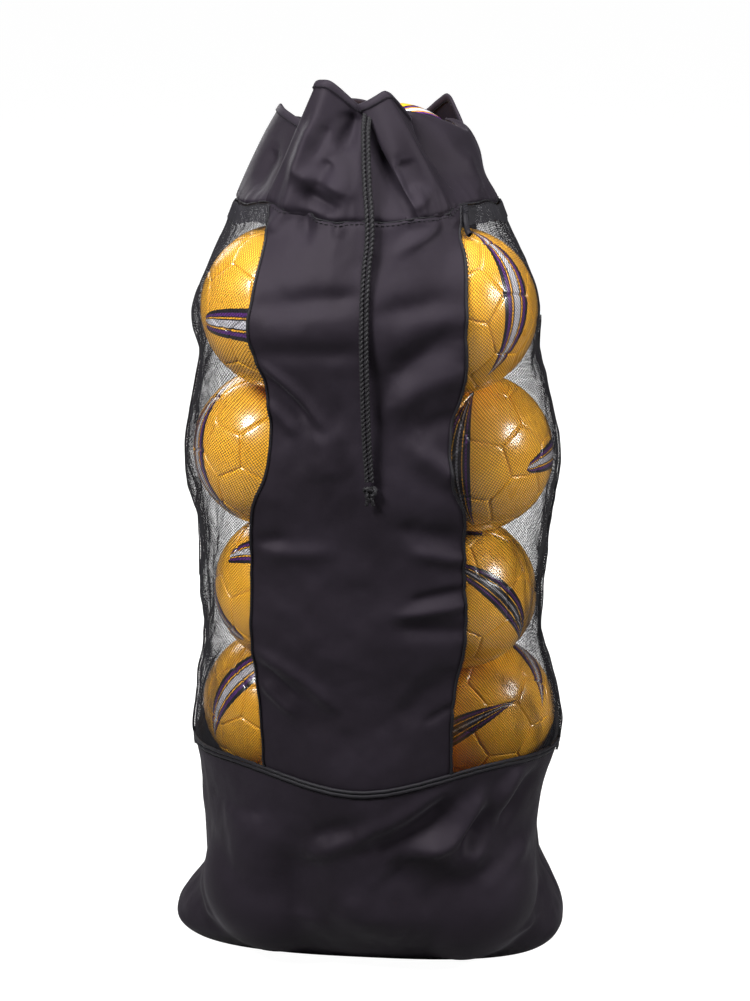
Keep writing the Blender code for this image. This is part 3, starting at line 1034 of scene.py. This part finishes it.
# Columns of each pleat, left to right: azimuth at the seam in degrees, then in millimetres the
# rim's point and how far the cloth stands out a third and two thirds of the way up.
PLEATS = {
    "front_left": (
        (-44, -52, -78, 1232, -6, -6), (-48.5, -65.5, -92.5, 1242.5, 0, 0),
        (-42, -56, -100.5, 1245.2, 3, 3), (-34, -46.5, -102.5, 1243.5, 5, 4),
        (-24, -36, -102.5, 1236, 6, 0), (-14, -25.5, -100.5, 1226.5, 8, -3),
        (-6, -16.5, -97, 1218, 9, -3), (3, -9, -92.5, 1212.5, 6, -1), (14, 6, -82, 1206, -5, -5),
        (27, 28, -64, 1200, -8, -6), (38, 52, -45, 1192, -8, -6),
    ),
    "front_right": (
        (26, -4, -88, 1209.5, -6, -7), (22.5, -12.5, -97.5, 1214.5, 0, 0),
        (26.5, -2, -103, 1219.5, 8, 6), (31, 10, -104.5, 1226.5, 6, 8),
        (35.5, 19.5, -101, 1231.8, 7, 8), (39.5, 24.5, -96.5, 1230.5, 6, 6),
        (41.5, 30, -85, 1224, -4, -5), (50, 48, -62, 1200, -11, -12),
    ),
    "right": (
        (18, 4, -44, 1184, -13, -13), (30, 28, -54, 1196, -15, -14),
        (40, 48, -60, 1200.5, -15, -13), (50, 64, -56, 1199, -12, -7), (62, 84, -45, 1193, -3, 2),
        (75, 104, -29, 1185, -1, 2), (88, 121.5, -7, 1174, -2, 1), (102, 124, 18, 1171, -2, 1),
        (116, 121, 43, 1174, 1, 5), (128, 109, 62, 1178, -1, 0), (134, 98, 70, 1178, -6, -6),
    ),
    "back_right": (
        (96, 108, 22, 1158, -9, -11), (108, 113, 48, 1162, -7, -8), (120, 112, 75, 1170, -4, -4),
        (130, 100.5, 94, 1192, 1, 2), (138, 90, 103, 1207.5, 3, 3), (148, 76, 108, 1199, 3, 0),
        (160, 58, 108, 1184, 1, -4), (172, 36, 104, 1176, -3, -6), (184, 12, 100, 1174, -7, -8),
        (196, -14, 97, 1172, -9, -9),
    ),
    "back_left": (
        (170, 26, 110, 1170, -5, -5), (167, 20, 117, 1178, 0, 0), (180, -4, 124.5, 1188, 4, 4),
        (194, -30, 127, 1196, 6, 5), (208, -56, 121, 1197, 5, 2), (220, -78, 106, 1190, 2, -3),
        (232, -94, 84, 1182, -3, -6), (244, -101, 60, 1178, -7, -8), (256, -106, 34, 1176, -9, -9),
        (264, -108, 12, 1178, -9, -9),
    ),
    "left": (
        (234, -98, 58, 1176, -6, -6), (230, -106.5, 63, 1179, 0, 0), (242, -115, 46, 1183, 2, 2),
        (256, -122, 24, 1194, 5, 5), (269, -124.5, 2, 1203.5, 6, 5),
        (281, -120, -16, 1201.5, 5, 3), (293, -107, -36, 1196, 0, -2),
        (304, -90, -56, 1190, -2, -3), (315, -72, -69, 1190, -4, -5),
        (326, -45, -72, 1192, -8, -8), (336, -18, -66, 1194, -9, -9),
    ),
}
# How far the rim of the right pleat rolls inwards and then down.
ROLL_IN = 0.026
ROLL_DOWN = 0.020
COLLAR_FOLDS = (
    (13, -7, -20, 1206, -30, 1160), (10, 5, -85, 1133, -45, 1124, -20, 1112),
    (8, -5, -82, 1110, -35, 1094), (11, -5, 46, 1150, 62, 1113),
    (7, 3, 38, 1140, 60, 1099, 82, 1112), (10, 4, -66, 1195, -92, 1130),
    (10, -4, -46, 1150, -60, 1115), (8, -3, -50, 1190, -70, 1150), (9, -4, -125, 1150, -150, 1100),
    (8, 3, 120, 1150, 140, 1100),
)
COLLAR_ROWS = 44
COLUMN_STEPS = 7
COLLAR_PUCKER = 0.018
HEM_HEIGHT = 0.0112
# Tucked columns lie closer to the ball in the mouth than the columns that cover them.
LAYER_CLEARANCE = 0.0016
LAYER_STEP = 0.0004
TUCKED_LAYER = -9


def seam_ring(degrees):
    """The collar seam's point at an azimuth in degrees."""
    angle = math.radians(degrees)
    top = azimuths[-1]
    turned = top[0] + (angle - top[0]) % TAU
    column = np.interp(turned, np.append(top, top[0] + TAU), np.arange(COLUMNS + 1))
    return along_wall(LAST_ROW, column), angle


def pleat_grid(name):
    """A pleat's cloth from the collar's seam up to its rim, as [row, column, xyz]."""
    columns = []
    for degrees, x, y, z, low, high in PLEATS[name]:
        seam, angle = seam_ring(degrees)
        out = np.array([math.sin(angle), -math.cos(angle), 0])
        rim = np.array([x, y, z]) / 1000
        seam = seam + out * (min(0, max(low, -4)) / 4000)
        points = [
            seam - out * 0.0024 - UP * 0.0050,
            seam - out * 0.0008 + UP * 0.0004,
            seam + (rim - seam) * 0.06 + out * (0.0028 + low / 4000),
            seam + (rim - seam) * 0.33 + out * low / 1000,
            seam + (rim - seam) * 0.68 + out * high / 1000,
            rim,
        ]
        if name == "right":
            way = level_out(rim)
            points[-1] = rim - way * 0.004
            points.append(rim - way * ROLL_IN - UP * 0.004)
            points.append(rim - way * (ROLL_IN + 0.003) - UP * ROLL_DOWN)
        columns.append(points)
    fine = catmull(np.array(columns), COLUMN_STEPS)
    grid = np.stack([smooth_curve(column, COLLAR_ROWS) for column in fine], axis=1)
    outwards = level_out(grid)
    angle = np.arctan2(grid[..., 0], -grid[..., 1])
    height = grid[..., 2] - grid[:1, :, 2] - 0.005
    move = pucker(angle + 0.4, np.maximum(height, 0), COLLAR_PUCKER)
    move *= np.clip(height / 0.004, 0, 1)
    if not name.startswith("back"):
        facing = np.clip(-outwards[..., 1] * 3, 0, 1)
        fade = np.clip((grid[-1:, :, 2] - grid[..., 2]) / 0.02, 0, 1)
        move += fold_heights(grid, COLLAR_FOLDS) * facing * fade
    layer = np.interp(
        np.arange(len(fine)) / COLUMN_STEPS,
        np.arange(len(columns)),
        [max(low, high) for *_, low, high in PLEATS[name]],
    )
    clearance = LAYER_CLEARANCE + LAYER_STEP * (layer - TUCKED_LAYER)
    return press_out(grid + outwards * move[..., None], outwards, clearance)


def column_walk(grid, distance):
    """The grid's points at a distance back from its top edge, in every column."""
    return np.array([points_at(column[::-1], distance) for column in np.swapaxes(grid, 0, 1)])


# The hem's profile: how far down from the rim, in hem heights, and how far out each point lies.
HEM_PROFILE = (
    (1.00, 0.0003), (0.96, 0.0011), (0.75, 0.0019), (0.40, 0.0021), (0.10, 0.0016),
    (-0.05, 0.0002), (-0.05, -0.0012), (0.10, -0.0026), (0.50, -0.0031), (0.96, -0.0024),
    (1.00, -0.0014),
)
# The distance along the cloth between two points of the profile, for the weave.
HEM_STEP = 0.0022
# How far down the hem its stitches and the cord inside it run, as a share of its height.
STITCHES_DOWN = 0.84
CORD_DOWN = 0.42
STITCH_LENGTH = 0.0034
STITCH_RADIUS = 0.0005
STITCH_POINTS = 400
DRAWCORD_RADIUS = 0.0012


def make_hem(name, grid, normal):
    """The cloth of the hem, folded over the rim."""
    top = grid[-1]
    rise = unit(top - column_walk(grid, 0.002))
    rings = []
    for down, out in HEM_PROFILE:
        distance = down * HEM_HEIGHT
        place = column_walk(grid, distance) if down >= 0 else top - rise * distance
        rings.append(place + normal * out)
    rings = np.swapaxes(rings, 0, 1)
    length, count = rings.shape[:2]
    faces = [list(f) for f in grid_faces(length, count, True)]
    faces.append(list(range(count))[::-1])
    faces.append(list(range((length - 1) * count, length * count)))
    # HEM's lighter colours are a painted sheen.
    hem = new_object(f"rim_hem_{name}_cloth", rings.reshape(-1, 3), faces, HEM)
    clean_mesh(hem)
    layer = hem.data.uv_layers.new(name="cloth")
    across = walked(top)
    for loop in hem.data.loops:
        k = loop.vertex_index
        layer.data[loop.index].uv = (across[k // count], (k % count) * HEM_STEP)
    return hem


def make_hem_stitches(name, grid, normal):
    """A line of stitches on each face of the hem."""
    pile = Pile()
    place = column_walk(grid, HEM_HEIGHT * STITCHES_DOWN)
    outside = smooth_curve(place + normal * 0.0020, STITCH_POINTS)
    inside = smooth_curve(place - normal * 0.0030, STITCH_POINTS)
    step = max(3, round(STITCH_LENGTH * (STITCH_POINTS - 1) / curve_length(outside)))
    for first in range(2, STITCH_POINTS - 4 - step, step + max(1, step // 3)):
        for line in (outside, inside):
            pile.tube(line[first : first + step], STITCH_RADIUS, 4)
    return pile.make(f"rim_stitches_{name}", STITCH)


def make_drawcord(name, grid, normal):
    """The cord's run inside the hem."""
    pile = Pile()
    drawn = smooth_curve(column_walk(grid, HEM_HEIGHT * CORD_DOWN) - normal * 0.0005, 120)
    pile.tube(drawn[4:-4], DRAWCORD_RADIUS, 6)
    return pile.make(f"drawcord_{name}_braid", CORD)


def make_pleats():
    """Each pleat's cloth, blended across the collar's seam, with its hem and cord."""
    for name in PLEATS:
        body = f"pleat_{name}"
        grid = pleat_grid(name)
        normal = unit(np.cross(np.gradient(grid[-3], axis=0), grid[-1] - grid[-6]))
        obj = make_sheet(f"collar_{name}_cloth", grid, CLOTH)
        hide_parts(f"collar_{name}")
        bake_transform(obj)
        finish_piece(make_hem(name, grid, normal), body, "hem", f"rim_hem_{name}")
        finish_piece(make_hem_stitches(name, grid, normal), body, "hem")
        finish_piece(make_drawcord(name, grid, normal), body, "cord", f"drawcord_{name}")


# ---- cords

# Where the left tail leaves the hem, and how far from there the right one does.
EXIT = (-0.0040, -0.1060, 1.2030)
RIGHT_EXIT_STEP = (0.0066, 0, -0.0020)
TAIL_ROUTE = (
    (-0.0045, -0.1285, 1.186), (-0.0020, -0.1515, 1.150), (0.0010, -0.1690, 1.120),
    (0.0050, -0.1860, 1.090), (0.0065, -0.1985, 1.060), (0.0040, -0.2110, 1.030),
    (0.0025, -0.2230, 0.995), (0.0024, -0.2284, 0.972), (0.0025, -0.2330, 0.950),
    (0.0029, -0.2358, 0.925), (0.0035, -0.2375, 0.900), (0.0042, -0.2383, 0.875),
    (0.0050, -0.2385, 0.850), (0.0060, -0.2385, 0.825), (0.0072, -0.2385, 0.800),
    (0.0086, -0.2385, 0.780), (0.0100, -0.2385, 0.7605),
)
# How far to the right of that route each tail hangs.
TAIL_SHIFTS = {"left": 0.0008, "right": 0.0070}
CORD_RADIUS = 0.00325
KNOT_CENTRE = (0.0144, -0.2385, 0.746)
KNOT_SIZE = 0.0030
# The right one of the two cut ends, from the knot's centre down.
KNOT_END = ((0.001, 0, -0.004), (0.003, -0.001, -0.011), (0.0045, 0.0, -0.0165))
BRAID_PITCH = 0.0058


def braid(turn, along):
    """Relief of a round braid: plump strands that meet in a row of chevrons."""
    lean = np.abs((turn / TAU * 4) % 2 - 1) * 0.75 * math.pi
    strand = np.cos(along / BRAID_PITCH * TAU + lean * 2)
    return 0.80 + 0.20 * np.sign(strand) * np.abs(strand) ** 0.7


def make_tail(side):
    """One tail of the drawcord, and the line it follows."""
    start = EXIT if side == "left" else tuple(np.add(EXIT, RIGHT_EXIT_STEP))
    route = [(x + TAIL_SHIFTS[side], y, z) for x, y, z in TAIL_ROUTE]
    path = smooth_curve([start, *route], 620)
    obj = new_object(f"cord_tail_{side}_braid", *tube_shape(path, CORD_RADIUS, 20, braid), CORD)
    return finish_piece(obj, "cord_tails", "cord", f"cord_tail_{side}"), path


def make_knot():
    """An overhand knot of the two cords, with its two cut ends below."""
    turn = np.linspace(0, TAU, 140)
    x = (np.sin(turn) + 2 * np.sin(2 * turn)) * 0.0026
    z = (np.cos(turn) - 2 * np.cos(2 * turn)) * KNOT_SIZE
    knot = np.stack([x, -np.sin(3 * turn) * KNOT_SIZE, z], -1)
    pile = Pile()
    pile.tube(knot + KNOT_CENTRE, CORD_RADIUS * 0.92, 14, braid)
    for lean in (-1, 1):
        end = np.array(KNOT_END) * [lean, 1, 1]
        pile.tube(smooth_curve(end + KNOT_CENTRE, 30), CORD_RADIUS * 0.85, 12, braid)
    return pile.make("cord_knot_tied", CORD)


def make_cords():
    """The knot and both tails."""
    knot = make_knot()
    finish_piece(knot, "tail_knot", "cord", "cord_knot")
    for side in ("left", "right"):
        tail, path = make_tail(side)
        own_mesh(tail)


# ---- footballs

GOLDEN = (1 + math.sqrt(5)) / 2
# An icosahedron's neighbouring corners are 2 apart, and all the others farther than this.
NEAR = 2.1
SEAM_DEPTH = 0.0019
SEAM_WIDTH = 0.0017
PUFF = 0.0008
BALL_WELD = 0.00005
# How far from a panel's middle to its edge each ring of its points lies.
RINGS = (0.25, 0.5, 0.7, 0.84, 0.90, 0.935, 0.96, 0.98, 1.0)
SIDE_STEPS = 6


def football_panels():
    """Corners of the 12 pentagons and 20 hexagons of a football, each in order."""
    starts = [(0.0, a, b * GOLDEN) for a in (-1, 1) for b in (-1, 1)]
    corners = np.array([np.roll(start, k) for start in starts for k in range(3)])
    apart = np.linalg.norm(corners[:, None] - corners, axis=-1)
    near = (apart > 0) & (apart < NEAR)

    def cuts(pairs):
        return np.array([corners[p] * 2 / 3 + corners[q] / 3 for p, q in pairs])

    panels = [cuts([(i, j) for j in range(12) if near[i, j]]) for i in range(12)]
    for trio in itertools.combinations(range(12), 3):
        if all(near[p, q] for p, q in itertools.combinations(trio, 2)):
            panels.append(cuts(itertools.permutations(trio, 2)))
    ordered = []
    for panel in panels:
        centre = unit(panel.mean(axis=0))
        side = unit(np.cross(centre, [0.31, 0.17, 0.93]))
        angle = np.arctan2(panel @ np.cross(centre, side), panel @ side)
        ordered.append(panel[np.argsort(angle)])
    return ordered


def football_mesh():
    """A football whose panels bulge a little between their sunken seams."""
    pile = Pile()
    for panel in football_panels():
        centre = panel.mean(axis=0)
        t = (np.arange(SIDE_STEPS) / SIDE_STEPS)[:, None]
        sides = zip(panel, np.roll(panel, -1, axis=0))
        border = np.concatenate([a + (b - a) * t for a, b in sides])
        count, start = len(border), pile.count
        reach = BALL_RADIUS * np.linalg.norm(unit(border) - unit(centre), axis=1).mean()
        vertices = [unit(centre)[None] * (BALL_RADIUS + PUFF)]
        for share in RINGS:
            sunk = SEAM_DEPTH * math.exp(-(((1 - share) * reach / SEAM_WIDTH) ** 2))
            radius = BALL_RADIUS + PUFF * (1 - share**2) - sunk
            vertices.append(unit(centre + (border - centre) * share) * radius)
        faces = [[start, start + 1 + k, start + 1 + (k + 1) % count] for k in range(count)]
        rings = grid_faces(len(RINGS), count, True, start + 1)
        pile.add(np.concatenate(vertices), faces + rings[:, ::-1].tolist())
    obj = pile.make("football", BALL)
    clean_mesh(obj, BALL_WELD)
    mesh = obj.data
    mesh.shade_smooth()
    bpy.data.objects.remove(obj)
    return mesh


# Where a streak shows on each ball as the camera sees it: which streak, sideways and up
# from the ball's middle in radii, and the angle of its long way in degrees.
STREAK_PLACES = {
    "ball_left_4": (1, -0.18, -0.33, -4),
    "ball_left_3": (0, -0.93, -0.05, 80),
    "ball_left_2": (1, 0.08, 0.40, -22),
    "ball_left_1": (0, -0.45, 0.40, 38),
    "ball_left_0": (0, 0.30, 0.10, 20),
    "ball_right_4": (0, 0.70, 0.12, -85),
    "ball_right_3": (2, -0.26, -0.18, 88),
    "ball_right_2": (2, 0.50, -0.02, -36),
    "ball_right_1": (2, -0.46, -0.26, 34),
    "ball_right_0": (1, 0.10, 0.20, -20),
    "ball_mouth": (1, -0.70, -0.50, 10),
    "ball_back_low": (1, 0.40, 0.30, 50),
    "ball_back_middle": (0, -0.50, 0.20, -40),
    "ball_back_high": (1, 0.20, -0.50, 15),
    "ball_front_low": (0, -0.30, 0.30, 70),
}


def ball_turn(streak, sideways, up, tilt):
    """The turn that shows this streak at this place to the camera."""
    right = np.array([math.cos(CAMERA_AZIMUTH), math.sin(CAMERA_AZIMUTH), 0])
    level = np.array([math.sin(CAMERA_AZIMUTH), -math.cos(CAMERA_AZIMUTH), 0])
    towards = level * math.cos(CAMERA_PITCH) + UP * math.sin(CAMERA_PITCH)
    upwards = np.cross(towards, right)
    depth = math.sqrt(max(0.02, 1 - sideways**2 - up**2))
    axis = unit(right * sideways + upwards * up + towards * depth)
    long_way = right * math.cos(tilt) + upwards * math.sin(tilt)
    long_way = unit(long_way - axis * axis.dot(long_way))
    world = np.stack([axis, long_way, np.cross(axis, long_way)], -1)
    return world @ np.array(streak_axes(*STREAKS[streak][:2]))


def make_balls():
    """One football at each ball's place, turned so that its streak shows where it should."""
    cover = football_mesh()
    points = np.empty(len(cover.vertices) * 3, np.float32)
    cover.vertices.foreach_get("co", points)
    place = cover.attributes.new(COVER_PLACE, "FLOAT_VECTOR", "POINT")
    place.data.foreach_set("vector", points)
    for name, centre in BALLS.items():
        streak, sideways, up, tilt = STREAK_PLACES[name]
        turn = ball_turn(streak, sideways, up, math.radians(tilt))
        mesh = cover.copy()
        mesh.name = f"{name}_football"
        turned = points.reshape(-1, 3) @ turn.T
        mesh.vertices.foreach_set("co", turned.astype(np.float32).ravel())
        mesh.update()
        obj = add_object(mesh.name, mesh)
        obj.location = tuple(centre)
        finish_piece(obj, "bag", "ball_cover", name)
    bpy.data.meshes.remove(cover)


# ---- studio

ROOM_LIGHT = 0.045
BACKDROP_LIGHT = 1.05
FLOOR_GLOW = 0.98
FLOOR_REACH = 30
FLOOR_DROP = 0.0004
WHITE = (1, 1, 1, 1)
# Each lamp's place, the height on the bag's axis that it faces, its size and its power.
LIGHTS = {
    "key": ((-1.45, -1.75, 2.8), 0.75, 0.9, 215),
    "side": ((2.4, -0.9, 2.1), 0.6, 1.0, 105),
    "top": ((0.15, -0.55, 3.5), 0.6, 1.3, 120),
    "rim": ((-1.6, 2.4, 2.0), 0.6, 1.6, 45),
}


def make_world():
    """A dim white room with a bright backdrop that only the camera sees."""
    world = bpy.data.worlds.new("studio")
    bpy.context.scene.world = world
    world.use_nodes = True
    tree = world.node_tree
    room = tree.nodes["Background"]
    backdrop = tree.nodes.new("ShaderNodeBackground")
    for node, strength in ((room, ROOM_LIGHT), (backdrop, BACKDROP_LIGHT)):
        node.inputs[0].default_value = WHITE
        node.inputs[1].default_value = strength
    seen = tree.nodes.new("ShaderNodeLightPath").outputs["Is Camera Ray"]
    both = tree.nodes.new("ShaderNodeMixShader")
    for k, output in enumerate((seen, room.outputs[0], backdrop.outputs[0])):
        tree.links.new(output, both.inputs[k])
    tree.links.new(both.outputs[0], tree.nodes["World Output"].inputs[0])


def make_floor():
    """A pale floor that glows towards the camera only, as white as the backdrop."""
    n = Nodes("pale_floor")
    direct = n.add("ShaderNodeLightPath").outputs["Is Camera Ray"]
    n.shade(
        Base_Color=(0.22, 0.22, 0.22, 1),
        Roughness=0.9,
        Specular_IOR_Level=0.1,
        Emission_Color=WHITE,
        Emission_Strength=n.math("MULTIPLY", direct, FLOOR_GLOW),
    )
    signs = ((-1, -1), (1, -1), (1, 1), (-1, 1))
    corners = [(x * FLOOR_REACH, y * FLOOR_REACH, 0) for x, y in signs]
    floor = new_object("studio_floor", corners, [(0, 1, 2, 3)], n.material, smooth=False)
    floor.location.z = -FLOOR_DROP


def make_studio():
    make_world()
    make_floor()
    for name, (place, aim, size, power) in LIGHTS.items():
        data = bpy.data.lights.new(name, "AREA")
        data.shape = "DISK"
        data.size = size
        data.energy = power
        light = add_object(name, data)
        light.location = place
        way = Vector((0, 0, aim)) - Vector(place)
        light.rotation_euler = way.to_track_quat("-Z", "Y").to_euler()
    bpy.context.scene.view_settings.view_transform = "Standard"


make_camera()
make_cords()
make_panels()
make_base()
make_net("net_left")
make_net("net_right")
make_edge_seam("edge_seam_front_left", SPANS["front_panel"][0])
make_edge_seam("edge_seam_front_right", SPANS["front_panel"][1])
make_edge_seam("edge_seam_back_right", SPANS["back_panel"][0])
make_edge_seam("edge_seam_back_left", SPANS["back_panel"][1])
make_foot_seam()
make_collar_seam()
make_pleats()
make_balls()
make_studio()
